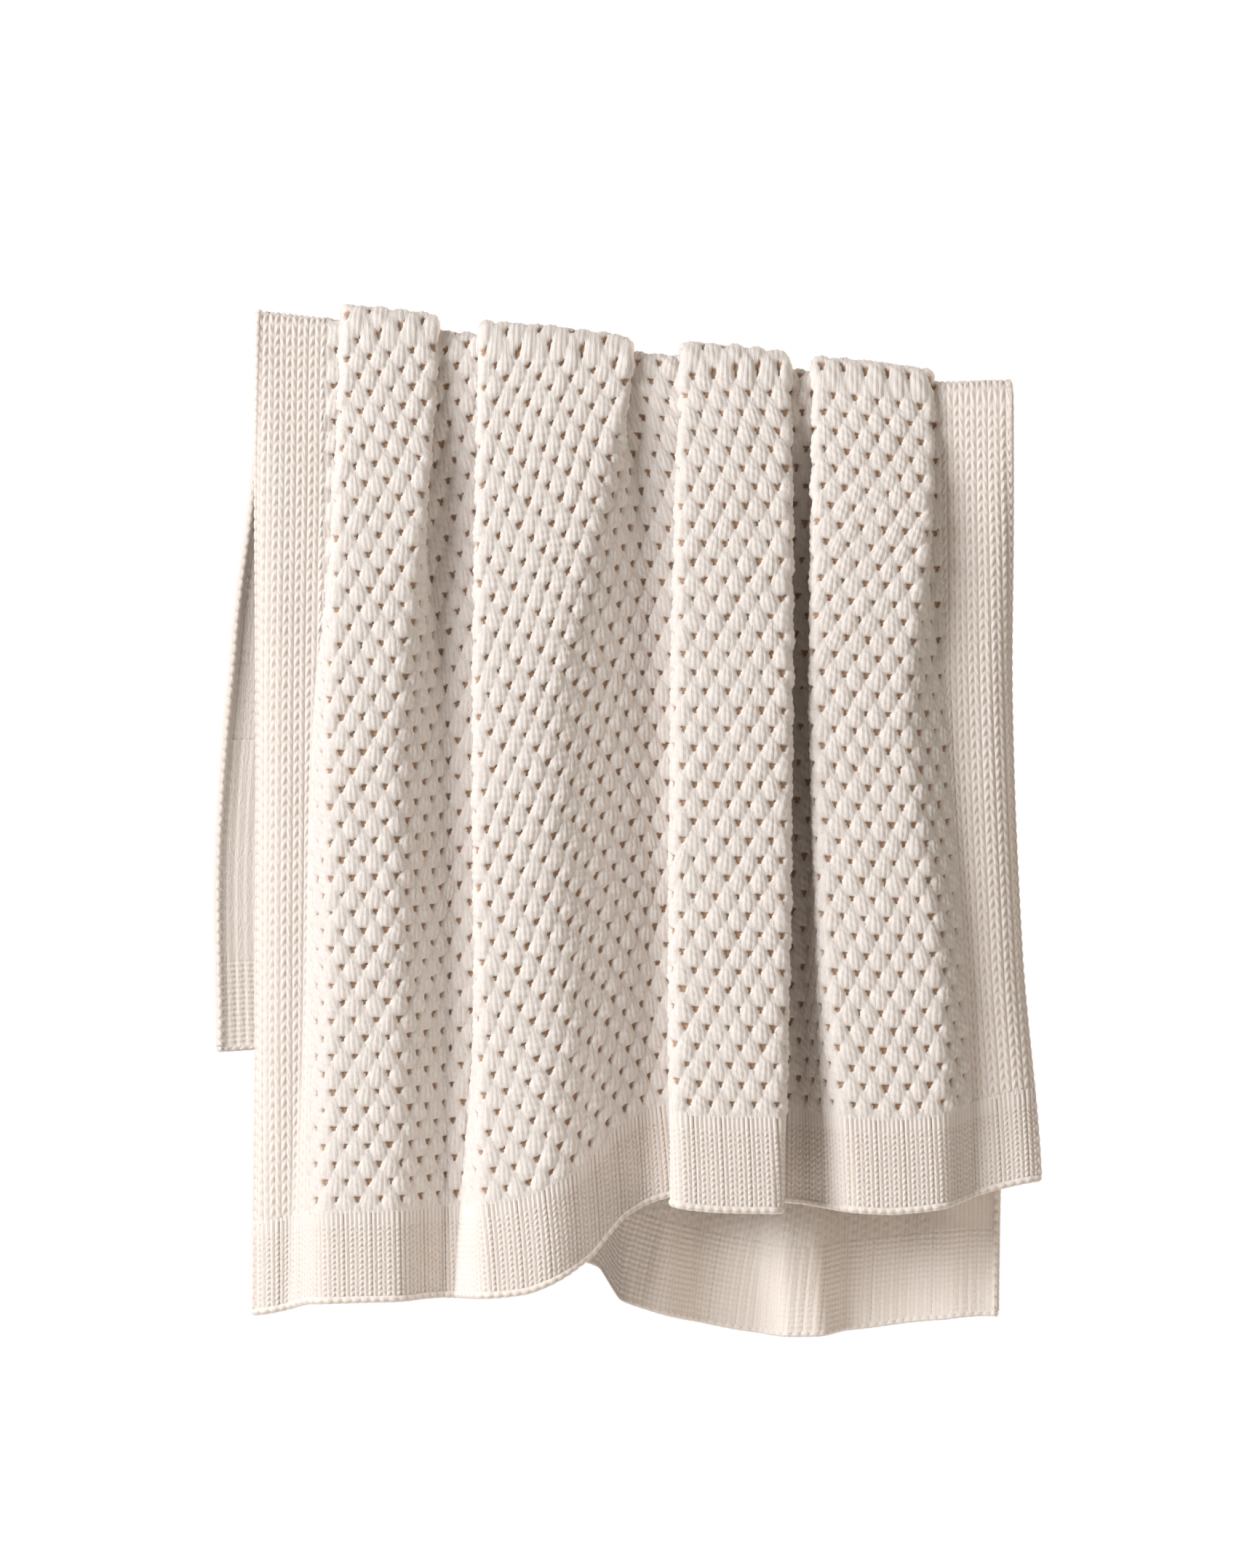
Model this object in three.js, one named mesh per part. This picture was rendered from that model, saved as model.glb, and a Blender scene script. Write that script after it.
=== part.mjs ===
// A knitted cotton throw, hung over a sloping rail in loose pleats.
//
// The throw is one knitted cloth with five kinds of knit in it: a honeycomb tuck-stitch panel in the
// middle, a plain border down each side, a plain hem band across each end, a linked chain along each side
// edge and a chain that finishes each end. Each is modelled as its own closed solid. All of them follow
// one drape, which is a set of cross-sections of the cloth from the rail down to each hem, so they stay
// joined edge to edge.
//
// The frame: +X runs to the right, +Y to the back, +Z up. The origin is on the rail's centre line, at mid
// width.
import * as THREE from "three";

// ---- The throw laid flat, in millimetres ----
const THROW_WIDTH = 1200; // side edge to side edge
const THROW_LENGTH = 1800; // end chain to end chain
const CLOTH_THICKNESS = 6.5;
const SIDE_BORDER = 75; // plain knit, with its selvedge chain
const HEM_BAND = 88; // plain knit, with its end chain
const SELVEDGE_CHAIN = 10;
const END_CHAIN = 10;
const SEAM_GAP = 0.4; // between neighbouring solids

// ---- The rail that it hangs on, which isn't part of the throw ----
const RAIL_RADIUS = 11.5;
const RAIL_CLEARANCE = 0.5;
const RAIL_SLOPE = THREE.MathUtils.degToRad(6.3); // the right end is the lower one

// ---- The drape ----
const GATHERED_WIDTH = 766; // the throw's width along the rail once it is pushed into pleats
const WIDTH_WHEN_HUNG = 0.93; // a hanging knit necks in to this share of its flat width
const FOLDED_LAYER = 8; // from layer to layer where a pleat is pressed flat
const CROWN = 2; // how much higher the middle of a pleat's top is
const EDGE_ROLL = 12; // from a side edge in to where its roll starts
const CLOTH_ON_RAIL = RAIL_RADIUS + RAIL_CLEARANCE + CLOTH_THICKNESS / 2; // rail centre to mid cloth

// How far down a drop each cross-section lies, from 0 at the rail to 1 at the end chain.
const LEVELS = [0, 0.16, 0.4, 0.72, 1];

// The cross-sections. Places across the cloth are shares of GATHERED_WIDTH from the left edge at the
// rail, and "out" is how far the mid cloth stands from the rail's centre line, in millimetres, away from
// the other drop.
// fold: how far from a corner its rounding starts.
// edges: [left, right].
// curl: how far the two side edges roll back in.
// slack: how much further out the right border's edge hangs, where it is looser on the rail.
// valleys: out for the flat stretch before each pleat and after the last one.
// pleats: [left, right, out, tuck at the left, tuck at the right]. A tuck is how far the cloth runs back
// in under the pleat's edge, or with a minus sign how long the slope is that it comes up on.
const AT_RAIL = {
  fold: 9,
  edges: [0, 1],
  curl: 0,
  slack: 13,
  valleys: [CLOTH_ON_RAIL, CLOTH_ON_RAIL, CLOTH_ON_RAIL, CLOTH_ON_RAIL, CLOTH_ON_RAIL],
  pleats: [
    [0.118, 0.236, 31, 18, 18],
    [0.3, 0.493, 31, 20, 18],
    [0.567, 0.702, 32, 18, 18],
    [0.742, 0.892, 31, 18, 16],
  ],
};
const FRONT = [
  AT_RAIL,
  {
    fold: 18,
    edges: [0.001, 0.999],
    curl: 8,
    slack: 5,
    valleys: [18, 13, 12, 14, 20],
    pleats: [
      [0.11, 0.222, 46, 4, 5],
      [0.297, 0.455, 50, 13, -38],
      [0.56, 0.703, 56, 14, 15],
      [0.739, 0.886, 50, 13, 5],
    ],
  },
  {
    fold: 24,
    edges: [0.003, 0.998],
    curl: 16,
    valleys: [20, 12, 10, 13, 27],
    pleats: [
      [0.1, 0.19, 54, -16, -45],
      [0.294, 0.395, 62, 12, -100],
      [0.555, 0.702, 76, 12, 14],
      [0.737, 0.86, 60, 10, -40],
    ],
  },
  {
    fold: 28,
    edges: [0.002, 1.011],
    curl: 16,
    valleys: [23, 18, 10, 20, 32],
    pleats: [
      [0.1, 0.19, 56, -26, -48],
      [0.298, 0.4, 66, -2, -96],
      [0.552, 0.698, 80, 16, 18],
      [0.752, 0.9, 64, -14, -32],
    ],
  },
  {
    fold: 30,
    edges: [-0.002, 1.035],
    curl: 7,
    valleys: [22, 24, 12, 24, 36],
    pleats: [
      [0.09, 0.19, 50, -34, -44],
      [0.3, 0.4, 64, -26, -88],
      [0.553, 0.69, 86, 16, 18],
      [0.785, 0.905, 62, -46, -34],
    ],
  },
];
const BACK = [
  AT_RAIL,
  {
    fold: 18,
    edges: [-0.003, 0.998],
    curl: 6,
    slack: 5,
    valleys: [17, 13, 13, 14, 20],
    pleats: [
      [0.112, 0.228, 46, 6, 8],
      [0.302, 0.484, 50, 13, 6],
      [0.57, 0.695, 52, 12, 12],
      [0.746, 0.885, 48, 8, 4],
    ],
  },
  {
    fold: 24,
    edges: [-0.03, 0.996],
    curl: 10,
    valleys: [19, 12, 13, 14, 23],
    pleats: [
      [0.1, 0.21, 58, -14, 4],
      [0.305, 0.47, 66, 8, -18],
      [0.575, 0.68, 68, 4, 7],
      [0.755, 0.87, 62, -4, -20],
    ],
  },
  {
    fold: 28,
    edges: [-0.055, 0.99],
    curl: 7,
    valleys: [23, 16, 15, 18, 26],
    pleats: [
      [0.085, 0.2, 78, -16, -10],
      [0.32, 0.465, 88, -6, -20],
      [0.577, 0.683, 68, -12, -10],
      [0.765, 0.872, 62, -18, -30],
    ],
  },
  {
    fold: 32,
    edges: [-0.054, 0.985],
    curl: 5,
    valleys: [26, 18, 16, 20, 28],
    pleats: [
      [0.075, 0.2, 100, -16, -12],
      [0.31, 0.455, 108, -12, -24],
      [0.585, 0.67, 50, -36, -24],
      [0.785, 0.865, 46, -26, -50],
    ],
  },
];

// How long each drop is, as a share of THROW_LENGTH, at places across the cloth from 0, left, to 1,
// right. The throw hangs askew, so the front is longest at the left and the back at the right.
const FRONT_DROP = {
  across: [0, 0.06, 0.16, 0.22, 0.3, 0.36, 0.4, 0.46, 0.57, 0.64, 0.75, 0.85, 0.92, 1],
  share: [0.555, 0.5435, 0.535, 0.531, 0.522, 0.5, 0.476, 0.461, 0.464, 0.461, 0.458, 0.456, 0.446, 0.43],
};
const BACK_DROP = {
  across: [0, 0.06, 0.16, 0.3, 0.43, 0.53, 0.62, 0.69, 0.76, 0.86, 0.95, 1],
  share: [0.41, 0.406, 0.42, 0.462, 0.501, 0.514, 0.527, 0.535, 0.538, 0.531, 0.518, 0.512],
};

// ---- How finely the solids are cut into facets ----
const CORNER_STEPS = 6; // round each corner of a cross-section
const ROWS_DOWN = 8; // from the rail to the hem band
const ROWS_HEM = 2;
const ROWS_OVER = 6; // over the rail
const BORDER_COLUMNS = 4;
const COLUMN_ROOM = 0.004; // the least space between two columns, as a share of the width
const HEADING_STEP = 0.002; // share of the width to each side that a cross-section's heading is taken over

// The same sizes as shares of the width.
const CHAIN_SHARE = SELVEDGE_CHAIN / THROW_WIDTH;
const BORDER_SHARE = SIDE_BORDER / THROW_WIDTH;
const GAP_SHARE = SEAM_GAP / (THROW_WIDTH * WIDTH_WHEN_HUNG);

const steps = (from, to, count) =>
  Array.from({ length: count + 1 }, (_, i) => from + ((to - from) * i) / count);

// A smooth curve's value between p1 and p2, with t from 0 to 1.
function catmullRom(p0, p1, p2, p3, t) {
  const a = 2 * p1;
  const b = p2 - p0;
  const c = 2 * p0 - 5 * p1 + 4 * p2 - p3;
  const d = 3 * p1 - p0 - 3 * p2 + p3;
  return 0.5 * (a + t * (b + t * (c + t * d)));
}

// The value at `at` of a smooth curve through (places[i], values[i]).
function smoothThrough(places, values, at) {
  const last = places.length - 1;
  let i = 0;
  while (i < last - 1 && at > places[i + 1]) i++;
  const t = THREE.MathUtils.clamp((at - places[i]) / (places[i + 1] - places[i]), 0, 1);
  return catmullRom(values[Math.max(i - 1, 0)], values[i], values[i + 1], values[Math.min(i + 2, last)], t);
}

const between = (a, b, t) => [a[0] + (b[0] - a[0]) * t, a[1] + (b[1] - a[1]) * t];

// A cross-section's corners [x, out], with how far their rounding reaches. `depth` scales how far the
// pleats stand out and tuck in.
function corners({ fold, edges, curl, slack = 0, valleys, pleats }, depth) {
  const place = (share) => (share - 0.5) * GATHERED_WIDTH;
  const reach = EDGE_ROLL + curl / 2;
  const sides = pleats.map(([left, right, out, tuckLeft, tuckRight], i) =>
    [
      [left, tuckLeft, valleys[i], 1],
      [right, tuckRight, valleys[i + 1], -1],
    ].map(([share, tuck, valley, way]) => {
      const shoulder = [place(share), valley + (out - valley) * depth];
      const foot = [place(share) + way * (tuck > 0 ? tuck * depth : tuck), valley];
      const half = (valley + shoulder[1]) / 2;
      const ease = 0.6 * Math.max(0, half - valley - FOLDED_LAYER);
      const tucked = { foot, heel: [foot[0], half - ease], edge: [place(share), half + ease], shoulder };
      const [heel, edge] = [1 / 3, 2 / 3].map((t) => between(foot, shoulder, t));
      const sloped = { foot, heel, edge, shoulder };
      return tuck > 0 ? tucked : sloped;
    }),
  );
  const middle = (a, b, rise) => [(a[0] + b[0]) / 2, (a[1] + b[1]) / 2 + rise];
  const points = [
    [place(edges[0]), valleys[0] - curl],
    [place(edges[0]) + reach / 3, valleys[0] - curl / 3],
    [place(edges[0]) + reach, valleys[0]],
  ];
  sides.forEach(([left, right], i) => {
    if (i) points.push(middle(sides[i - 1][1].foot, left.foot, 0));
    points.push(left.foot, left.heel, left.edge, left.shoulder);
    points.push(middle(left.shoulder, right.shoulder, CROWN));
    points.push(right.shoulder, right.edge, right.heel, right.foot);
  });
  const border = valleys.at(-1) + slack;
  points.push(
    [place(edges[1]) - reach, border],
    [place(edges[1]) - reach / 3, border - curl / 3],
    [place(edges[1]), border - curl],
  );
  return points.map((point) => [...point, fold]);
}

// A cross-section as a finely divided line: its points, the arc length at each, and which of them are its
// corners.
function trace(points) {
  const line = [points[0]];
  const marks = [];
  points.slice(1, -1).forEach((corner, i) => {
    const [before, after] = [points[i], points[i + 2]];
    const legs = [before, after].map((p) => Math.hypot(p[0] - corner[0], p[1] - corner[1]));
    const cut = Math.min(corner[2], legs[0] / 2, legs[1] / 2);
    const start = between(corner, before, cut / legs[0]);
    const end = between(corner, after, cut / legs[1]);
    steps(0, 1, CORNER_STEPS).forEach((t, k) => {
      if (k === CORNER_STEPS / 2) marks.push(line.length);
      line.push(between(between(start, corner, t), between(corner, end, t), t));
    });
  });
  line.push(points.at(-1));
  const arc = [0];
  for (let i = 1; i < line.length; i++) {
    arc.push(arc[i - 1] + Math.hypot(line[i][0] - line[i - 1][0], line[i][1] - line[i - 1][1]));
  }
  return { line, arc, marks };
}

// The depth of a cross-section's pleats that takes up the whole width of the cloth.
function pleatDepth(section) {
  let [low, high] = [0.1, 6];
  for (let i = 0; i < 40; i++) {
    const depth = (low + high) / 2;
    if (trace(corners(section, depth)).arc.at(-1) < THROW_WIDTH * WIDTH_WHEN_HUNG) low = depth;
    else high = depth;
  }
  return (low + high) / 2;
}

// A drop's cross-section at share `down` of its length, from the outlines at its levels.
function sectionOf(outlines, down) {
  const points = outlines[0].map((_, i) =>
    [0, 1, 2].map((k) => smoothThrough(LEVELS, outlines.map((outline) => outline[i][k]), down)),
  );
  return trace(points);
}

// The point [x, out] on a traced line at share `across` of its arc length.
function pointOn({ line, arc }, across) {
  const at = THREE.MathUtils.clamp(across, 0, 1) * arc.at(-1);
  let i = 1;
  while (i < arc.length - 1 && arc[i] < at) i++;
  const t = (at - arc[i - 1]) / (arc[i] - arc[i - 1]);
  return [0, 1].map((k) => THREE.MathUtils.lerp(line[i - 1][k], line[i][k], t));
}

// The point [x, out] that stands `offset` off a traced line, square to it, on the side away from the
// rail.
function pointOff(section, across, offset) {
  const [x, out] = pointOn(section, across);
  const before = pointOn(section, across - HEADING_STEP);
  const after = pointOn(section, across + HEADING_STEP);
  const run = [after[0] - before[0], after[1] - before[1]];
  const scale = offset / Math.hypot(...run);
  return [x - run[1] * scale, out + run[0] * scale];
}

const outlinesOf = (sections) => sections.map((section) => corners(section, pleatDepth(section)));
const FRONT_OUTLINES = outlinesOf(FRONT);
const BACK_OUTLINES = outlinesOf(BACK);
const railHeight = (x) => -Math.tan(RAIL_SLOPE) * x;

// One of the two drops: side is -1 for the front and +1 for the back.
function drop(side) {
  const outlines = side < 0 ? FRONT_OUTLINES : BACK_OUTLINES;
  const { across: places, share } = side < 0 ? FRONT_DROP : BACK_DROP;
  const cache = new Map();
  const section = (down) => {
    if (!cache.has(down)) cache.set(down, sectionOf(outlines, down));
    return cache.get(down);
  };
  const lengthAt = (across) => THROW_LENGTH * smoothThrough(places, share, across);
  // across and down are shares, of the width and of the drop's length at that place.
  const at = (across, down, offset) => {
    const [x, out] = pointOff(section(down), across, offset);
    return [x, side * out, railHeight(x) - down * lengthAt(across)];
  };
  return { at, lengthAt, section, facing: side };
}

// The stretch of cloth over the rail: turn runs from 0, level with the rail's axis in front, to 1 behind
// it.
function overRail() {
  const rail = sectionOf(FRONT_OUTLINES, 0);
  const at = (across, turn, offset) => {
    const [x, out] = pointOff(rail, across, offset);
    const angle = Math.PI * turn;
    return [x, -out * Math.cos(angle), railHeight(x) + out * Math.sin(angle)];
  };
  return { at, section: () => rail, facing: 1 };
}

// The columns of facets at a cross-section, from the left edge to the right: the seams between the
// strips, a few places in each side border, and in between the cross-section's own corners.
function columns({ arc, marks }) {
  const inner = marks.slice(2, -2).map((mark) => arc[mark] / arc.at(-1));
  const held = inner.map((place, i) => {
    const least = BORDER_SHARE + COLUMN_ROOM * (i + 1);
    const most = 1 - BORDER_SHARE - COLUMN_ROOM * (inner.length - i);
    return THREE.MathUtils.clamp(place, least, most);
  });
  const panel = [BORDER_SHARE, ...held, 1 - BORDER_SHARE];
  const border = steps(CHAIN_SHARE, BORDER_SHARE, BORDER_COLUMNS).slice(0, -1);
  return [0, ...border, ...panel, ...border.map((place) => 1 - place).reverse(), 1];
}

// A patch of cloth as a closed solid. grid holds a row of places [across, down] for each row of facets.
function patch(surface, grid, thickness) {
  const [rowCount, columnCount] = [grid.length, grid[0].length];
  const count = rowCount * columnCount;
  const layer = (offset) => grid.flatMap((row) => row.flatMap((place) => surface.at(...place, offset)));
  const positions = [...layer(thickness / 2), ...layer(-thickness / 2)];
  const index = [];
  const outwards = surface.facing > 0;
  const quad = (a, b, c, d) => index.push(...(outwards ? [a, b, c, a, c, d] : [a, c, b, a, d, c]));
  const id = (layer, j, i) => layer * count + j * columnCount + i;
  for (let j = 0; j < rowCount - 1; j++) {
    for (let i = 0; i < columnCount - 1; i++) {
      quad(id(0, j, i), id(0, j, i + 1), id(0, j + 1, i + 1), id(0, j + 1, i));
      quad(id(1, j, i), id(1, j + 1, i), id(1, j + 1, i + 1), id(1, j, i + 1));
    }
    quad(id(0, j, 0), id(0, j + 1, 0), id(1, j + 1, 0), id(1, j, 0));
    const end = columnCount - 1;
    quad(id(0, j, end), id(1, j, end), id(1, j + 1, end), id(0, j + 1, end));
  }
  for (let i = 0; i < columnCount - 1; i++) {
    quad(id(0, 0, i), id(1, 0, i), id(1, 0, i + 1), id(0, 0, i + 1));
    const end = rowCount - 1;
    quad(id(0, end, i), id(0, end, i + 1), id(1, end, i + 1), id(1, end, i));
  }
  const geometry = new THREE.BufferGeometry();
  geometry.setAttribute("position", new THREE.Float32BufferAttribute(positions, 3));
  geometry.setIndex(index);
  geometry.computeVertexNormals();
  return geometry;
}

// ---- The knits ----
const yarn = (color) => new THREE.MeshStandardMaterial({ color, roughness: 0.95, metalness: 0 });
const HONEYCOMB = yarn(0xe9dfd4);
const PLAIN_KNIT = yarn(0xebe2d8);
const CHAIN = yarn(0xe6dccf);

const throwBlanket = new THREE.Group();

// Adds one solid between two places across the cloth. rows(across) lists how far down its rows of facets
// lie.
function addKnit(name, surface, [from, to], rows, material) {
  const left = from > 0 ? from + GAP_SHARE / 2 : from;
  const right = to < 1 ? to - GAP_SHARE / 2 : to;
  const grid = rows(0.5).map((middle, j) => {
    const inner = columns(surface.section(middle)).filter((place) => place > left && place < right);
    return [left, ...inner, right].map((across) => [across, rows(across)[j]]);
  });
  const mesh = new THREE.Mesh(patch(surface, grid, CLOTH_THICKNESS), material);
  mesh.name = name;
  throwBlanket.add(mesh);
}

const SIDES = {
  left_selvedge: [0, CHAIN_SHARE],
  left_border: [CHAIN_SHARE, BORDER_SHARE],
  honeycomb: [BORDER_SHARE, 1 - BORDER_SHARE],
  right_border: [1 - BORDER_SHARE, 1 - CHAIN_SHARE],
  right_selvedge: [1 - CHAIN_SHARE, 1],
};

const materialOf = (strip) => {
  if (strip.endsWith("selvedge")) return CHAIN;
  return strip === "honeycomb" ? HONEYCOMB : PLAIN_KNIT;
};

// The five strips that run over the rail.
const seamTurn = SEAM_GAP / 2 / (Math.PI * CLOTH_ON_RAIL);
for (const [strip, span] of Object.entries(SIDES)) {
  const rows = () => steps(seamTurn, 1 - seamTurn, ROWS_OVER);
  addKnit(`${strip}_over_rail`, overRail(), span, rows, materialOf(strip));
}

// The two drops: the strips run down to the hem band and the side chains on to the end chain.
for (const [name, side, endChain] of [["front", -1, "bind_off_chain"], ["back", 1, "cast_on_chain"]]) {
  const surface = drop(side);
  const seam = (across) => SEAM_GAP / 2 / surface.lengthAt(across);
  const above = (across, height) => 1 - height / surface.lengthAt(across);
  const hemTop = (across) => above(across, HEM_BAND);
  const hemFoot = (across) => above(across, END_CHAIN) - seam(across);
  const stripRows = (across) => steps(seam(across), hemTop(across) - seam(across), ROWS_DOWN);
  const chainRows = (across) => [...stripRows(across), ...steps(hemTop(across), hemFoot(across), ROWS_HEM)];
  const hemRows = (across) => steps(hemTop(across) + seam(across), hemFoot(across), ROWS_HEM);
  const endRows = (across) => [above(across, END_CHAIN) + seam(across), 1];
  for (const [strip, span] of Object.entries(SIDES)) {
    const rows = strip.endsWith("selvedge") ? chainRows : stripRows;
    addKnit(`${strip}_${name}`, surface, span, rows, materialOf(strip));
  }
  addKnit(`hem_band_${name}`, surface, [CHAIN_SHARE, 1 - CHAIN_SHARE], hemRows, PLAIN_KNIT);
  addKnit(endChain, surface, [0, 1], endRows, CHAIN);
}

export default throwBlanket;
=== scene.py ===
import math

import bmesh
import bpy
import numpy as np
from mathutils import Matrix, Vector


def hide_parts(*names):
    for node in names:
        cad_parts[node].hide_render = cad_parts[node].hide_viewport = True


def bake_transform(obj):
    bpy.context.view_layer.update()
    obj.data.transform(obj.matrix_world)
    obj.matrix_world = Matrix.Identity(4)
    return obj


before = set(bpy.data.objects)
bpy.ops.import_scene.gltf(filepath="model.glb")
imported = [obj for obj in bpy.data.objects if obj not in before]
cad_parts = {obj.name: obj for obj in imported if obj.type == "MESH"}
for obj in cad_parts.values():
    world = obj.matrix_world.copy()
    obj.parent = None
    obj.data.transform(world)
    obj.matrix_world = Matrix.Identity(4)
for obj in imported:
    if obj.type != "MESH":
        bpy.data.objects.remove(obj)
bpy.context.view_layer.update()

# Camera: level and square on to the front of the throw, far enough back that near pleats hardly loom.
view = bpy.data.cameras.new("camera")
view.sensor_width = 36
view.lens = 102.2
camera = bpy.data.objects.new("camera", view)
camera.location = (-0.0062, -4.54, -0.421)
camera.rotation_euler = (math.pi / 2, 0, 0)
bpy.context.scene.collection.objects.link(camera)
bpy.context.scene.camera = camera

# The drape: one cloth of cotton knit, 1.2 m by 1.8 m, thrown over a sloping rail. It is pushed into four
# pleats, pressed flat on the rail and open below it. It hangs askew, so the front is longest at the left and
# the back at the right. Lengths are in millimetres here, and the cross-sections are the CAD's own.
flat_width = 1200
flat_length = 1800
hung_width = flat_width * 0.93  # a hanging knit necks in
gathered_width = 766
side_border = 75
hem_band = 88
rail_slope = math.radians(6.3)
rail_gap = 11.5 + 0.5  # rail radius and clearance
cloth_thickness = 6.5
on_rail = rail_gap + cloth_thickness / 2
quarter_turn = math.pi / 2 * on_rail  # of cloth, from the ridge down to the level of the rail's axis
levels = [0, 0.16, 0.4, 0.72, 1]
level_rail = (9, (0, 1), 0, 13, (on_rail,) * 5, (
    (0.118, 0.236, 31, 18, 18), (0.3, 0.493, 31, 20, 18),
    (0.567, 0.702, 32, 18, 18), (0.742, 0.892, 31, 18, 16)))
# Each level: fold, edges, curl, the right border's slack, how far out the valleys lie, and the pleats. A pleat
# is (left, right, out, left tuck, right tuck).
front_levels = [
    level_rail,
    (18, (0.001, 0.999), 8, 5, (18, 13, 12, 14, 20), (
        (0.11, 0.222, 46, 4, 5), (0.297, 0.455, 50, 13, -38),
        (0.56, 0.703, 56, 14, 15), (0.739, 0.886, 50, 13, 5))),
    (24, (0.003, 0.998), 16, 0, (20, 12, 10, 13, 27), (
        (0.1, 0.19, 54, -16, -45), (0.294, 0.395, 62, 12, -100), (0.555, 0.702, 76, 12, 14),
        (0.737, 0.86, 60, 10, -40))),
    (28, (0.002, 1.011), 16, 0, (23, 18, 10, 20, 32), (
        (0.1, 0.19, 56, -26, -48), (0.298, 0.4, 66, -2, -96),
        (0.552, 0.698, 80, 16, 18), (0.752, 0.9, 64, -14, -32))),
    (30, (-0.002, 1.035), 7, 0, (22, 24, 12, 24, 36), (
        (0.09, 0.19, 50, -34, -44), (0.3, 0.4, 64, -26, -88),
        (0.553, 0.69, 86, 16, 18), (0.785, 0.905, 62, -46, -34))),
]
back_levels = [
    level_rail,
    (18, (-0.003, 0.998), 6, 5, (17, 13, 13, 14, 20), (
        (0.112, 0.228, 46, 6, 8), (0.302, 0.484, 50, 13, 6),
        (0.57, 0.695, 52, 12, 12), (0.746, 0.885, 48, 8, 4))),
    (24, (-0.03, 0.996), 10, 0, (19, 12, 13, 14, 23), (
        (0.1, 0.21, 58, -14, 4), (0.305, 0.47, 66, 8, -18),
        (0.575, 0.68, 68, 4, 7), (0.755, 0.87, 62, -4, -20))),
    (28, (-0.055, 0.99), 7, 0, (23, 16, 15, 18, 26), (
        (0.085, 0.2, 78, -16, -10), (0.32, 0.465, 88, -6, -20), (0.577, 0.683, 68, -12, -10),
        (0.765, 0.872, 62, -18, -30))),
    (32, (-0.054, 0.985), 5, 0, (26, 18, 16, 20, 28), (
        (0.075, 0.2, 100, -16, -12), (0.31, 0.455, 108, -12, -24), (0.585, 0.67, 50, -36, -24),
        (0.785, 0.865, 46, -26, -50))),
]
front_drop = (
    (0, 0.06, 0.16, 0.22, 0.3, 0.36, 0.4, 0.46, 0.57, 0.64, 0.75, 0.85, 0.92, 1),
    (0.555, 0.5435, 0.535, 0.531, 0.522, 0.5, 0.476, 0.461, 0.464, 0.461, 0.458, 0.456, 0.446, 0.43),
)
back_drop = (
    (0, 0.06, 0.16, 0.3, 0.43, 0.53, 0.62, 0.69, 0.76, 0.86, 0.95, 1),
    (0.41, 0.406, 0.42, 0.462, 0.501, 0.514, 0.527, 0.535, 0.538, 0.531, 0.518, 0.512),
)


def smooth_through(places, values, at):
    """A smooth curve through (places, values), read at `at`."""
    places, values, at = np.asarray(places, float), np.asarray(values, float), np.asarray(at, float)
    last = len(places) - 1
    i = np.clip(np.searchsorted(places, at, side="left") - 1, 0, last - 1)
    t = np.clip((at - places[i]) / (places[i + 1] - places[i]), 0, 1)
    p0, p1 = values[np.maximum(i - 1, 0)], values[i]
    p2, p3 = values[i + 1], values[np.minimum(i + 2, last)]
    if values.ndim > 1:
        t = t[..., None] if np.ndim(t) else t
    squared, cubed = 2 * p0 - 5 * p1 + 4 * p2 - p3, 3 * p1 - p0 - 3 * p2 + p3
    return 0.5 * (2 * p1 + t * (p2 - p0 + t * (squared + t * cubed)))


def corners(level, depth):
    """A cross-section's corners (x, out, how far their rounding reaches). depth scales the pleats."""
    fold, edges, curl, slack, valleys, pleats = level
    place = lambda share: (share - 0.5) * gathered_width
    reach = 12 + curl / 2
    points = [(place(edges[0]), valleys[0] - curl), (place(edges[0]) + reach / 3, valleys[0] - curl / 3),
              (place(edges[0]) + reach, valleys[0])]
    last_foot = None
    for i, (left, right, out, tuck_left, tuck_right) in enumerate(pleats):
        sides = []
        flanks = ((left, tuck_left, valleys[i], 1), (right, tuck_right, valleys[i + 1], -1))
        for share, tuck, valley, way in flanks:
            shoulder = np.array((place(share), valley + (out - valley) * depth))
            foot = np.array((place(share) + way * (tuck * depth if tuck > 0 else tuck), valley))
            half = (valley + shoulder[1]) / 2
            ease = 0.6 * max(0, half - valley - 8)
            if tuck > 0:
                sides.append((foot, (foot[0], half - ease), (place(share), half + ease), shoulder))
            else:
                third = (shoulder - foot) / 3
                sides.append((foot, foot + third, foot + third * 2, shoulder))
        if last_foot is not None:
            points.append((last_foot + sides[0][0]) / 2)
        points += [*sides[0], (sides[0][3] + sides[1][3]) / 2 + (0, 2), *sides[1][::-1]]
        last_foot = sides[1][0]
    border = valleys[-1] + slack
    points += [(place(edges[1]) - reach, border), (place(edges[1]) - reach / 3, border - curl / 3),
               (place(edges[1]), border - curl)]
    return np.array([(x, out, fold) for x, out in points])


def trace(points):
    """A cross-section with its corners rounded, as points evenly spaced along it, and its length."""
    line = [points[0, :2]]
    for before, corner, after in zip(points, points[1:], points[2:]):
        legs = [np.hypot(*(end[:2] - corner[:2])) for end in (before, after)]
        cut = min(corner[2], legs[0] / 2, legs[1] / 2)
        start = corner[:2] + (before[:2] - corner[:2]) * cut / legs[0]
        end = corner[:2] + (after[:2] - corner[:2]) * cut / legs[1]
        for t in np.linspace(0, 1, 9):
            line.append(start * (1 - t) ** 2 + corner[:2] * 2 * t * (1 - t) + end * t * t)
    line = np.array([*line, points[-1, :2]])
    arc = np.concatenate(([0], np.cumsum(np.hypot(*np.diff(line, axis=0).T))))
    even = np.linspace(0, arc[-1], 2400)
    return np.stack([np.interp(even, arc, line[:, k]) for k in (0, 1)], axis=1), arc[-1]


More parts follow.
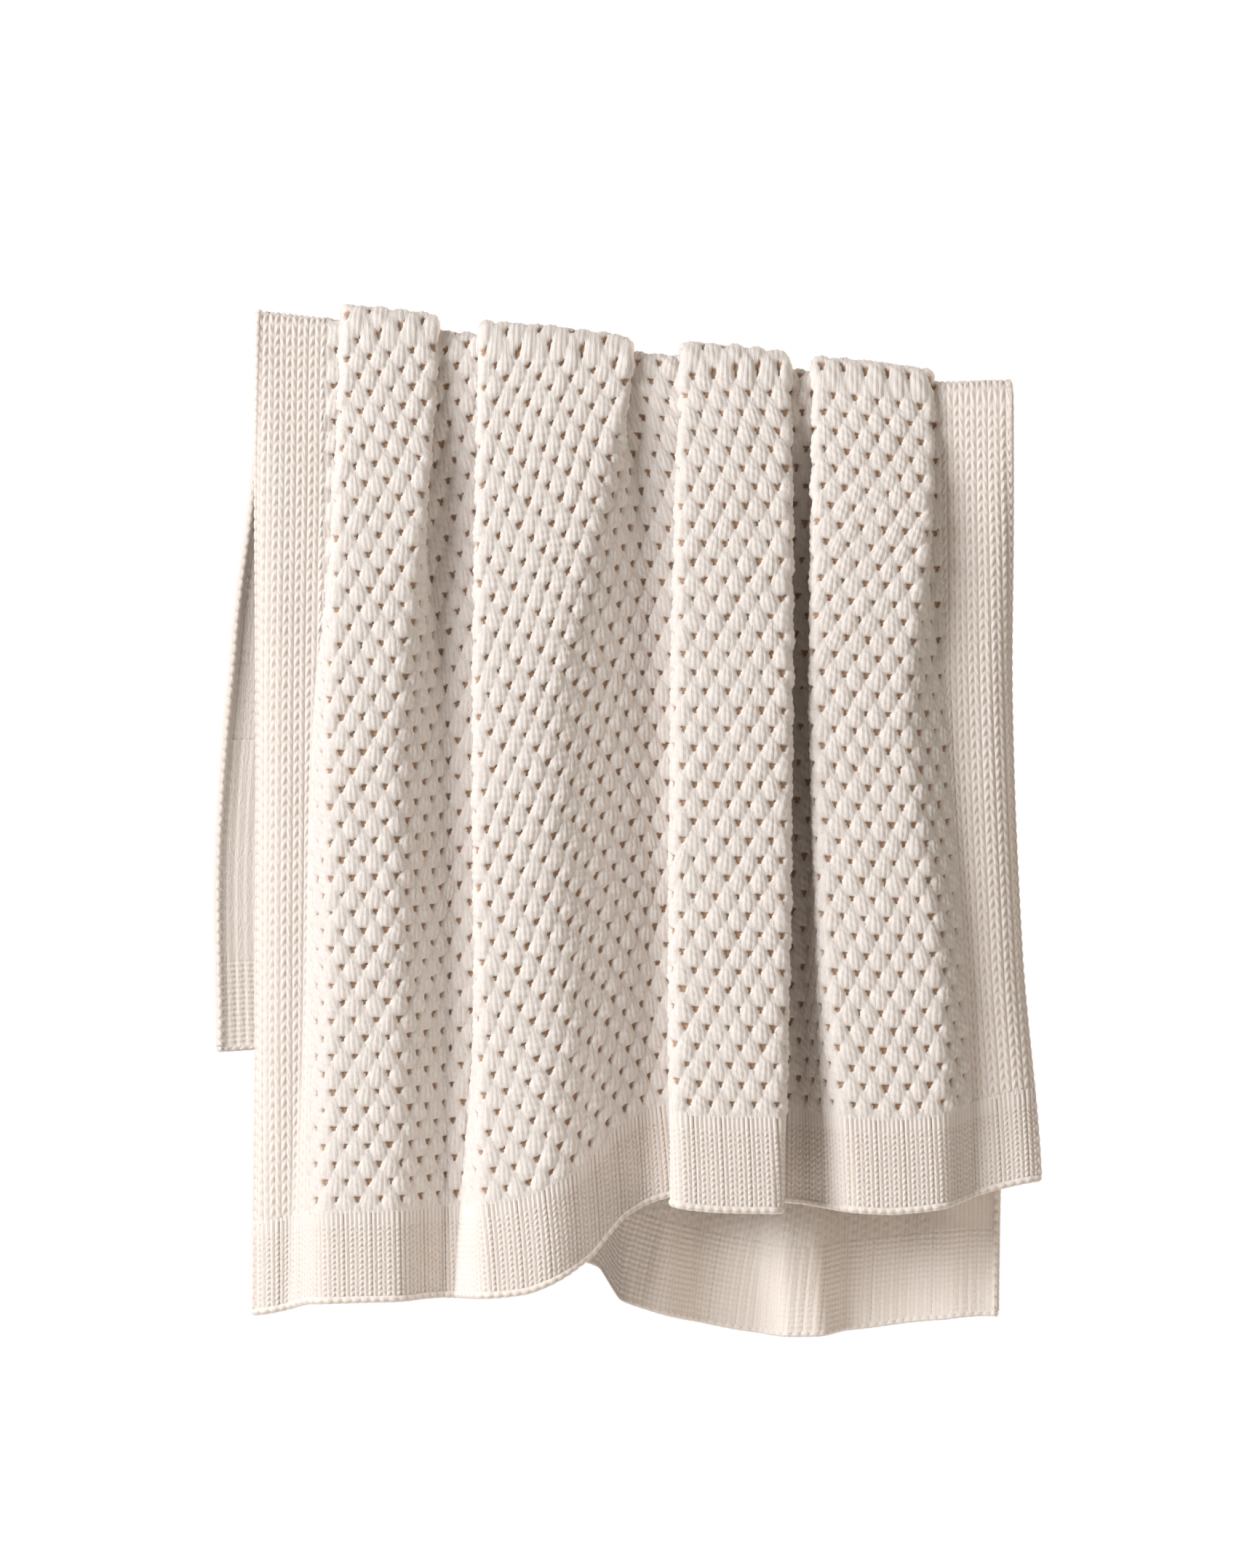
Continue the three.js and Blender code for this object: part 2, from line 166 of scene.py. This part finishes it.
def drape_table(sections):
    """Cross-sections at evenly spaced shares of the drop, each taking up the cloth's whole width."""
    solved = []
    for level in sections:
        low, high = 0.1, 6.0
        for _ in range(30):
            depth = (low + high) / 2
            low, high = (depth, high) if trace(corners(level, depth))[1] < hung_width else (low, depth)
        solved.append(corners(level, depth))
    return np.array([trace(smooth_through(levels, solved, down))[0] for down in np.linspace(0, 1, 97)])


drapes = {
    "front": (drape_table(front_levels), front_drop, -1),
    "back": (drape_table(back_levels), back_drop, 1),
}


def drop_length(side, across):
    places, shares = drapes[side][1]
    return flat_length * smooth_through(places, shares, across)


def mid_cloth(side, across, down_mm):
    """The middle of the cloth, at shares across its width and at millimetres of cloth down from the ridge."""
    table, _, way = drapes[side]
    length = drop_length(side, across)
    turn = np.clip(down_mm / quarter_turn, 0, 1) * math.pi / 2
    down = np.clip((down_mm - quarter_turn) / length, 0, 1)
    row, column = down * (len(table) - 1), np.clip(across, 0, 1) * (table.shape[1] - 1)
    j, i = np.minimum(row.astype(int), len(table) - 2), np.minimum(column.astype(int), table.shape[1] - 2)
    t, s = (row - j)[..., None], (column - i)[..., None]
    section = (table[j, i] * (1 - s) + table[j, i + 1] * s) * (1 - t) + (
        table[j + 1, i] * (1 - s) + table[j + 1, i + 1] * s) * t
    x, out = section[..., 0], section[..., 1]
    z = -math.tan(rail_slope) * x + out * np.cos(turn) - down * length
    return np.stack((x, way * out * np.sin(turn), z), axis=-1)


hung_length = 1790  # front end over the rail to the back end


def up_cloth(side, across, down_mm):
    """Millimetres of cloth up from the front end, on over the rail, and down the back."""
    front, back = drop_length("front", across), drop_length("back", across)
    way = drapes[side][2]
    return (front + quarter_turn + way * down_mm) / (front + back + 2 * quarter_turn) * hung_length


def down_drop(side, across, up):
    """The other way round: millimetres down from the ridge."""
    front, back = drop_length("front", across), drop_length("back", across)
    way = drapes[side][2]
    return way * (up / hung_length * (front + back + 2 * quarter_turn) - front - quarter_turn)


def knitted_mesh(name, place, pit, cloth, yarn, tube=False):
    """A grid of points (metres) made into a mesh, with its painted-shade mask (how deep in a pit each point
    lies) and its two UV maps.
    """
    lines, columns = pit.shape
    bm = bmesh.new()
    bmesh.ops.create_grid(bm, x_segments=columns - 1, y_segments=lines - 1, size=0.5)
    mesh = bpy.data.meshes.new(name)
    bm.to_mesh(mesh)
    bm.free()
    count = lines * columns
    flat = np.empty(count * 3, np.float32)
    mesh.vertices.foreach_get("co", flat)
    order = np.lexsort((flat[0::3].round(5), -flat[1::3].round(5)))  # top line first, left to right
    co, pit_shades = np.empty((count, 3), np.float32), np.empty(count, np.float32)
    co[order], pit_shades[order] = place.reshape(-1, 3), pit.ravel()
    mesh.vertices.foreach_set("co", co.ravel())
    # The pit attribute carries painted shade: the materials darken the colour by it.
    mesh.attributes.new("pit", "FLOAT", "POINT").data.foreach_set("value", pit_shades)
    corner = np.empty(len(mesh.loops), np.int32)
    mesh.loops.foreach_get("vertex_index", corner)
    for label, (u, v) in (("cloth", cloth), ("yarn", yarn)):
        lay = np.empty((count, 2), np.float32)
        lay[order] = np.stack((u, v), -1).reshape(-1, 2)
        mesh.uv_layers.new(name=label).data.foreach_set("uv", lay[corner].ravel())
    if tube:
        bm = bmesh.new()
        bm.from_mesh(mesh)
        bmesh.ops.remove_doubles(bm, verts=bm.verts, dist=1e-5)
        bmesh.ops.holes_fill(bm, edges=[edge for edge in bm.edges if edge.is_boundary])
        bmesh.ops.recalc_face_normals(bm, faces=bm.faces)
        bm.to_mesh(mesh)
        bm.free()
    mesh.shade_smooth()
    piece = bpy.data.objects.new(name, mesh)
    bpy.context.scene.collection.objects.link(piece)
    return piece


def outwards(side, share, down_mm):
    """The cloth's outward direction, read a little to each side, so that stitches fan round folds."""
    near = 1.2 / hung_width  # 1.2 mm as a share of the width
    step_across = mid_cloth(side, share + near, down_mm) - mid_cloth(side, share - near, down_mm)
    step_down = mid_cloth(side, share, down_mm + 1) - mid_cloth(side, share, np.maximum(down_mm - 1, 0))
    normal = np.cross(step_across, step_down) * drapes[side][2]
    return normal / (np.linalg.norm(normal, axis=-1, keepdims=True) + 1e-9)


def cloth_piece(name, side, across, ups, spacing, lift, relief):
    """A fine grid of cloth between two places across it and two distances up it, where None is the ridge over
    the rail. relief(across mm, up mm) gives the stitches' height, a painted-shade mask (how deep in a pit each
    point is), and the strand and the place along it. lift is how far the stitches' foot stands off the middle
    of
    the cloth: above zero it is the face, and below zero the reverse."""
    middle = np.array([sum(across) / 2])
    downs = (down_drop(side, middle, up)[0] if up is not None else 0 for up in ups)
    tall = abs(float(next(downs) - next(downs)))
    wide = across[1] - across[0]
    columns, lines = round(wide * hung_width / spacing[0]), round(tall / spacing[1])
    share = across[0] + wide * np.linspace(0, 1, columns + 1)[None, :].repeat(lines + 1, 0)
    top = down_drop(side, share, ups[1]) if ups[1] is not None else 0 * share
    down_mm = top + (down_drop(side, share, ups[0]) - top) * np.linspace(0, 1, lines + 1)[:, None]
    up = up_cloth(side, share, down_mm)
    height, pit, strand, along = relief(share * hung_width, up)
    stand = lift + height if lift > 0 else lift - height
    place = (mid_cloth(side, share, down_mm) + outwards(side, share, down_mm) * stand[..., None]) / 1000
    piece = knitted_mesh(name, place, pit, (share * hung_width / 1000, up / 1000), (strand, along))
    if (side == "back") != (lift < 0):
        piece.data.flip_normals()
    return piece


def hang(piece, side, material, slot_name, *nodes):
    """Gives the piece its material, bakes its transform into its mesh, and hides the CAD parts it stands in
    for.
    """
    piece.data.materials.append(material)
    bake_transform(piece)
    if nodes:
        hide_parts(*nodes)


# Honeycomb panel: a tuck stitch in thick, loosely plied cotton. Each stitch is a drop-shaped bundle of
# strands, fat and proud at its foot, and narrow at its top between the next two feet. A pit is left under each
# foot.
def spread(i, j, seed):
    """An even random share for each stitch, from its place in the lattice."""
    value = np.sin(i * 127.1 + j * 311.7 + seed * 74.7) * 43758.5453
    return value - np.floor(value)


cell_wide = 22
cell_tall = 36.6
pit_wide = 9.8
pit_tall = 12.5
stitch_high = 4.2
panel_edge = side_border * 0.93


def arch(t):
    """A quarter circle, from 0 at t = 0 to 1 at t = 1."""
    return np.sqrt(1 - (1 - np.clip(t, 0, 1)) ** 2)


def honeycomb(across_mm, up):
    pit = np.zeros(np.shape(across_mm))
    lattice = []
    for shift in (0, 0.5):
        x = (across_mm - panel_edge) / cell_wide - shift
        y = (up - hem_band) / cell_tall - shift + 0.04
        i, j = np.round(x), np.floor(y)
        x, y = x - i + 0.07 * (spread(i, j, 2) - 0.5), y - j + 0.04 * (spread(i, j, 1) - 0.5)
        lattice.append((i, j, x, y))
        # The pit under the next stitch's foot narrows downwards.
        below = (y - 1) * cell_tall
        pit_half = pit_wide / 2 * np.clip(1 + below / pit_tall, 0, 1) ** 0.8
        pit = np.maximum(pit, np.clip((pit_half - np.abs(x) * cell_wide) / 1.6, 0, 1))
    height = 1.5 - 3.4 * pit
    groove_shade = 0 * height
    for i, j, x, y in lattice:
        t = y / 0.83
        x = x + 0.3 * (spread(i, j, 3) - 0.5) * (t - 0.3)
        taper = np.clip((t - 0.36) / 0.64, 0, 1)
        half = (0.22 + 0.26 * arch(t / 0.3)) * (1 - 0.74 * taper**1.05) * (0.92 + 0.16 * spread(i, j, 4))
        s = x / half
        dome = np.clip(1 - s * s, 0, 1) ** 0.75
        rise = arch(t / 0.3) * (1 - 0.5 * taper**1.4) * (0.84 + 0.32 * spread(i, j, 5))
        turn = 1.9 * s + 0.5 + 0.7 * (spread(i, j, 6) - 0.5) + 1.4 * (spread(i, j, 7) - 0.5) * (t - 0.5)
        grooves = 1 - np.abs(np.sin(math.pi * turn)) ** 0.8
        knots = 0.55 * np.cos(2 * math.pi * (3.6 * t + 1.7 * spread(i, j, 8) + 0.35 * turn))
        body = stitch_high * rise * dome - (1.3 * grooves - knots) * np.minimum(1, 2 * dome * rise)
        proud = (np.abs(s) < 1) & (t > 0) & (t < 1)
        # Neighbouring stitches press into each other, so the creases between them are soft.
        pressed = 0.5 * np.log(np.exp(2 * np.clip(body, -5, 9)) + np.exp(2 * np.clip(height, -5, 9)))
        height = np.where(proud, pressed, height)
        # Painted shade in the grooves between each stitch's strands.
        groove_shade = np.where(proud, 0.32 * grooves * np.minimum(1, 2 * dome), groove_shade)
    # The stitches next to a border are laddered, with a slot beside every second row.
    edge = np.minimum(across_mm - panel_edge, hung_width - panel_edge - across_mm)
    slot = np.clip(1 - edge / 5, 0, 1) * np.clip(np.sin(2 * math.pi * up / cell_tall) * 2 + 0.6, 0, 1)
    height = height - 3 * slot
    # Both ends are eased down to the hem bands.
    seam = np.clip(np.minimum(up - hem_band, hung_length - hem_band - up) / 7, 0, 1)
    height = 2.1 + (height - 2.1) * seam * (2 - seam)
    # The second value is painted shade: darker where the cloth lies low, in the pits, and in the grooves.
    return height, np.maximum(np.clip((0.5 - height) / 2.6, 0, 1), groove_shade), across_mm / 4.4, up / 4


def linear(hex_colour):
    """An sRGB hex colour as linear red, green, blue and alpha."""
    parts = [int(hex_colour[k:k + 2], 16) / 255 for k in (0, 2, 4)]
    return [c / 12.92 if c <= 0.04045 else ((c + 0.055) / 1.055) ** 2.4 for c in parts] + [1.0]


def add_node(material, kind, settings=(), links=()):
    """Adds a node. settings are properties or input values, and links join (input, node, output)."""
    node = material.node_tree.nodes.new(kind)
    for key, value in dict(settings).items():
        if isinstance(key, str) and hasattr(node, key):
            setattr(node, key, value)
        else:
            node.inputs[key].default_value = value
    for key, source, output in links:
        material.node_tree.links.new(source.outputs[output], node.inputs[key])
    return node


def cotton_knit(name, light, shade, fleck_and_shade_colour, plies, gap_shade=0.3):
    """Loosely plied cotton yarn: dead matt, a little fuzzy, with fine fibre lines and small dark flecks. Pits
    and gaps between strands get painted shade.
    """
    made = bpy.data.materials.new(name)
    made.use_nodes = True
    made.node_tree.nodes.clear()
    lay = add_node(made, "ShaderNodeUVMap", {"uv_map": "cloth"})
    # Plies run along each strand, plies of them to a strand. They are several times as long as they are wide.
    yarn = add_node(made, "ShaderNodeUVMap", {"uv_map": "yarn"})
    fibres = add_node(made, "ShaderNodeMapping", {"Scale": (plies, 0.9, 1)}, [("Vector", yarn, "UV")])
    lines = add_node(made, "ShaderNodeTexNoise", {"Scale": 1, "Detail": 4, "Roughness": 0.65},
                     [("Vector", fibres, "Vector")])
    millimetres = add_node(made, "ShaderNodeMapping", {"Scale": (1000, 1000, 1)}, [("Vector", lay, "UV")])
    drift = add_node(made, "ShaderNodeTexNoise", {"Scale": 1 / 45, "Detail": 2},
                     [("Vector", millimetres, "Vector")])
    fleck = add_node(made, "ShaderNodeTexNoise", {"Scale": 1 / 1.6, "Detail": 2},
                     [("Vector", millimetres, "Vector")])
    flecks = add_node(made, "ShaderNodeMapRange", {"From Min": 0.66, "From Max": 0.76, "To Max": 0.5},
                      [("Value", fleck, "Fac")])
    tone = add_node(made, "ShaderNodeMixRGB", {"Color1": linear(light), "Color2": linear(shade)},
                    [("Fac", drift, "Fac")])
    flecked = add_node(made, "ShaderNodeMixRGB", {"Color2": linear(fleck_and_shade_colour)},
                       [("Fac", flecks, "Result"), ("Color1", tone, "Color")])
    # The gaps between strands look darker, because light doesn't reach their foot.
    strand = add_node(made, "ShaderNodeSeparateXYZ", (), [("Vector", yarn, "UV")])
    gap = add_node(made, "ShaderNodeMath", {"operation": "PINGPONG", 1: 0.5}, [(0, strand, "X")])
    gaps = add_node(made, "ShaderNodeMapRange",
                    {"From Min": 0.02, "From Max": 0.16, "To Min": gap_shade, "To Max": 0},
                    [("Value", gap, "Value")])
    # Painted shade: the colour darkens in pits and grooves, by the mesh's pit attribute.
    pit_shades = add_node(made, "ShaderNodeAttribute", {"attribute_name": "pit"})
    grooved = add_node(made, "ShaderNodeMixRGB", {"Color2": linear(fleck_and_shade_colour)},
                       [("Fac", gaps, "Result"), ("Color1", flecked, "Color")])
    pit_shade_mix = add_node(made, "ShaderNodeMapRange", {"From Min": 0.15, "From Max": 0.75, "To Max": 0.85},
                    [("Value", pit_shades, "Fac")])
    colour = add_node(made, "ShaderNodeMixRGB", {"Color2": linear(fleck_and_shade_colour)},
                      [("Fac", pit_shade_mix, "Result"), ("Color1", grooved, "Color")])
    bump = add_node(made, "ShaderNodeBump", {"Strength": 0.9, "Distance": 0.0012},
                    [("Height", lines, "Fac")])
    dull = {"Roughness": 0.92, "Specular IOR Level": 0.2, "Sheen Weight": 0.25, "Sheen Roughness": 0.6}
    shader = add_node(made, "ShaderNodeBsdfPrincipled", dull,
                      [("Base Color", colour, "Color"), ("Normal", bump, "Normal")])
    add_node(made, "ShaderNodeOutputMaterial", (), [("Surface", shader, "BSDF")])
    return made


panel_cotton = cotton_knit("plied cotton, honeycomb", "f5eee9", "eee5de", "ae8560", 5, 0)
panel_span = (side_border / flat_width, 1 - side_border / flat_width)
panel_lift = 2.2
for side, strips, spacing, end in (
    ("front", 6, (1.3, 1.6), hem_band),
    ("back", 4, (2.1, 2.4), hung_length - hem_band),
):
    fold_lines = np.linspace(*panel_span, strips + 1)
    for k, (left, right) in enumerate(zip(fold_lines, fold_lines[1:])):
        name = f"honeycomb_{side}_strip_{k + 1}"
        strip = cloth_piece(name, side, (left, right), (end, None), spacing, panel_lift, honeycomb)
        nodes = (f"honeycomb_{side}", "honeycomb_over_rail") if k == 0 else ()
        hang(strip, side, panel_cotton, "honeycomb_knit", *nodes)
        tall = (drop_length(side, (left + right) / 2) + quarter_turn - hem_band) / 1000


# Side borders: plain knit in the same cotton, in long slanting stitches, about six columns wide. Each laps
# under the honeycomb beside it, and is knitted on to it there.
lap = 4
plain_lift = 2.6


def plain_knit(across_mm, up, wale, course, rake, long_from=1e9):
    column = across_mm / wale
    i = np.floor(column)
    x = np.abs(column - i - 0.5)
    y = up / course - rake * x + 0.12 * (spread(i, np.floor(up / course), 6) - 0.5)
    leg = np.abs(np.sin(2 * math.pi * x)) ** 0.7
    stitch = (0.5 - 0.5 * np.cos(2 * math.pi * y)) ** 0.6
    # From long_from on the stitches are drawn out long, where they join the honeycomb's.
    stitch = stitch + (1 - stitch) * np.clip((up - long_from) / 8, 0, 1)
    height = leg * (0.2 + 0.8 * stitch)
    # Painted shade, darker where the stitch lies low.
    pit = np.clip(0.55 - height, 0, 1)
    inside = np.minimum(across_mm - panel_edge, hung_width - panel_edge - across_mm)
    under = np.clip(np.maximum(np.minimum(inside, lap), 0) / lap, 0, 1) * (up > hem_band + lap)
    return 2.4 * height * (1 - 0.8 * under), pit, column * 2, y


border_cotton = cotton_knit("plied cotton, plain border", "f5eee9", "eee5de", "c8a784", 3)
border_span = side_border / flat_width
for side, spacing, end in (("front", (1.3, 1.6), hem_band), ("back", (1.8, 2), hung_length - hem_band)):
    lapped = border_span + lap / hung_width
    for edge, span in (("left", (0, lapped)), ("right", (1 - lapped, 1))):
        border = cloth_piece(f"{edge}_border_{side}_knit", side, span, (end, None), spacing, plain_lift,
                             lambda u, v: plain_knit(u, v, 11.8, 11, 2))
        hang(border, side, border_cotton, "plain_knit", f"{edge}_border_{side}", f"{edge}_border_over_rail")
        tall = (drop_length(side, sum(span) / 2) + quarter_turn - hem_band) / 1000

# Hem bands: plain knit again, in smaller stitches, straight across both ends.
hem_cotton = cotton_knit("plied cotton, hem band", "f5eee9", "eee5de", "c8a784", 2.5)
top = hem_band + lap
for side, spacing, ends in (
    ("front", (1.2, 1.2), (0, top)),
    ("back", (1.5, 1.5), (hung_length, hung_length - top)),
):
    band = cloth_piece(f"hem_band_{side}_knit", side, (0, 1), ends, spacing, plain_lift,
                       lambda u, v: plain_knit(u, np.minimum(v, hung_length - v), 9.2, 5.6, 1.9, 73))
    hang(band, side, hem_cotton, "hem_knit", f"hem_band_{side}")


# Reverse of the cloth: the same yarn from behind. The plain knit is fine ribs here, with a row of dark dots
# and some ladders between them, and the honeycomb is a flat net. The back's hem is the finest, because it
# hangs lower than the front drop.
def reverse(across_mm, up):
    rib = across_mm / 9.2
    i = np.floor(rib + 0.5)
    gully = 1 - np.abs(np.sin(math.pi * rib)) ** 0.6
    rung = 0.5 + 0.5 * np.cos(2 * math.pi * (up / 5.6 + 0.4 * spread(i, 0, 8)))
    bump = 0.5 * np.cos(2 * math.pi * (up / 5.6 + 0.5)) * (1 - gully)
    ribs = 1.3 + bump - gully * (1.2 + 0.9 * spread(i, 0, 9) ** 2) * (0.25 + 0.75 * rung)
    column = np.floor(across_mm / 11)
    mesh = np.abs(np.sin(math.pi * across_mm / 11)) * np.abs(np.sin(math.pi * (up / 9.15 + 0.5 * column)))
    net = 1.1 - 1.4 * np.clip(mesh * 1.5 - 0.5, 0, 1)
    inside = np.minimum(np.minimum(across_mm - panel_edge, hung_width - panel_edge - across_mm),
                        np.minimum(up - hem_band, hung_length - hem_band - up))
    blend = np.clip(inside / 6 + 0.5, 0, 1)
    height = ribs * (1 - blend) + net * blend
    # The second value is painted shade, darker where the cloth lies low.
    return height, np.clip((0.5 - height) / 2, 0, 1), across_mm / 4.6, up / 5.6


reverse_cotton = cotton_knit("plied cotton, reverse", "f3ebe4", "ece1d8", "c8a98a", 2)
reverse_lift = -1.8
lower_tall = 230  # of the back's reverse above its hem band
lower = hung_length - hem_band - lower_tall
inner = cloth_piece("reverse_front", "front", (0, 1), (0, None), (4.6, 5), reverse_lift, reverse)
reverses = {"front": [inner], "back": []}
for label, ups, spacing in (
    ("hem", (hung_length, hung_length - hem_band), (1.4, 1.3)),
    ("lower", (hung_length - hem_band, lower), (2.6, 2.6)),
    ("upper", (lower, None), (4.6, 5)),
):
    inner = cloth_piece("reverse_back_" + label, "back", (0, 1), ups, spacing, reverse_lift, reverse)
    reverses["back"].append(inner)
for side, inners in reverses.items():
    for inner in inners:
        hang(inner, side, reverse_cotton, "plain_knit")


# Edge chains: the same yarn linked along each side edge as it is knitted, and along both ends to finish them.
# They are round and a little proud, and close the cloth's rim.
def edge_chain(name, side, share, down_mm, pitch, width, way_out):
    """A chain of stitches along an edge, given as places across and down the cloth. way_out is +1 or -1."""
    middle = mid_cloth(side, share, down_mm)
    along = np.gradient(middle, axis=0)
    along /= np.linalg.norm(along, axis=-1, keepdims=True)
    normal = outwards(side, share, down_mm)
    out = np.cross(along, normal) * way_out
    run = np.concatenate(([0], np.cumsum(np.linalg.norm(np.diff(middle, axis=0), axis=-1))))[:, None]
    turn = np.linspace(0, 2 * math.pi, 15)[None, :]
    linked = 2 * math.pi * run / pitch
    twist = np.maximum(np.cos(turn - linked), np.cos(turn + linked + 2.4))
    bulge = 0.9 + 0.14 * twist
    radius = width * bulge
    place = middle[:, None] + out[:, None] * (np.cos(turn) * radius * 0.9 - 1.5)[..., None]
    place = place + normal[:, None] * (np.sin(turn) * radius * 1.12 + 1.1)[..., None]
    flat = np.broadcast_to(share[:, None] * hung_width / 1000, radius.shape), run / 1000 + 0.003 * turn
    # Painted shade where the chain's twist dips in.
    pit = np.clip((0.98 - bulge) * 2.4, 0, 0.5)
    return knitted_mesh(name, place / 1000, pit, flat, np.broadcast_arrays(turn / 2, run / 4), tube=True)


chain_cotton = cotton_knit("plied cotton, edge chain", "f5eee9", "eee5de", "c8a784", 2)
chains = {"front": [], "back": []}
for side, end_node in (("front", "bind_off_chain"), ("back", "cast_on_chain")):
    for edge, share, way_out in (("left", 0, 1), ("right", 1, -1)):
        tall = float(drop_length(side, share)) + quarter_turn
        down = np.linspace(0, tall - 2, round(tall / 2.2))
        chain = edge_chain(f"{edge}_selvedge_{side}_chain", side, np.full(len(down), float(share)), down,
                           pitch=11, width=4.1, way_out=way_out * -drapes[side][2])
        nodes = (f"{edge}_selvedge_{side}", f"{edge}_selvedge_over_rail")
        hang(chain, side, chain_cotton, "edge_chain", *nodes)
        chains[side].append(chain)
    share = np.linspace(0, 1, 640)
    down = down_drop(side, share, 0 if side == "front" else hung_length) - 1
    chain = edge_chain(f"{end_node}_stitches", side, share, down,
                       pitch=9.2, width=4.3, way_out=drapes[side][2])
    hang(chain, side, chain_cotton, "edge_chain", end_node)
    chains[side].append(chain)
# The mean length of cloth down each side from the ridge, over 101 places across.
places = np.linspace(0, 1, 101)
front_tall, back_tall = (
    float(np.mean(drop_length(side, places))) + quarter_turn for side in ("front", "back"))

# Studio: a pale floor well below the throw, a bright surround, and soft light from the upper left.
surround = bpy.data.worlds.new("surround")
surround.use_nodes = True
sky = surround.node_tree.nodes["Background"]
sky.inputs["Color"].default_value = linear("ffeeda")
sky.inputs["Strength"].default_value = 0.16
paper = add_node(surround, "ShaderNodeBackground", {"Color": linear("ffffff")})
seen = add_node(surround, "ShaderNodeLightPath")
either = add_node(surround, "ShaderNodeMixShader", (),
                  [(0, seen, "Is Camera Ray"), (1, sky, 0), (2, paper, 0)])
surround.node_tree.links.new(either.outputs[0], surround.node_tree.nodes["World Output"].inputs["Surface"])
bpy.context.scene.world = surround
bm = bmesh.new()
bmesh.ops.create_circle(bm, cap_ends=True, segments=96, radius=1.5)
bmesh.ops.translate(bm, vec=(0, 0, -1.6), verts=bm.verts)
floor_mesh = bpy.data.meshes.new("floor")
bm.to_mesh(floor_mesh)
bm.free()
floor = bpy.data.objects.new("floor", floor_mesh)
bpy.context.scene.collection.objects.link(floor)
pale = bpy.data.materials.new("pale floor")
pale.use_nodes = True
paint = pale.node_tree.nodes["Principled BSDF"]
paint.inputs["Base Color"].default_value = linear("fbfaf8")
paint.inputs["Roughness"].default_value = 0.9
floor.data.materials.append(pale)
# The key stands at the front left, a weak side light at the front right, and the rear light is for the back.
middle_of_throw = Vector((0, 0, -0.45))
for name, place, size, energy, colour in (
    ("key", (-5.9, -4.3, 2.3), 4, 720, "fbfdff"),
    ("side", (5, -4.5, 1), 4, 95, "fff6ec"),
    ("rear", (5.5, 5.5, 3), 5, 600, "fff6ec"),
):
    lamp = bpy.data.lights.new(name, "AREA")
    lamp.size, lamp.energy, lamp.color = size, energy, linear(colour)[:3]
    light = bpy.data.objects.new(name, lamp)
    light.location = place
    light.rotation_euler = (middle_of_throw - light.location).to_track_quat("-Z", "Y").to_euler()
    bpy.context.scene.collection.objects.link(light)
bpy.context.scene.view_settings.view_transform = "Standard"
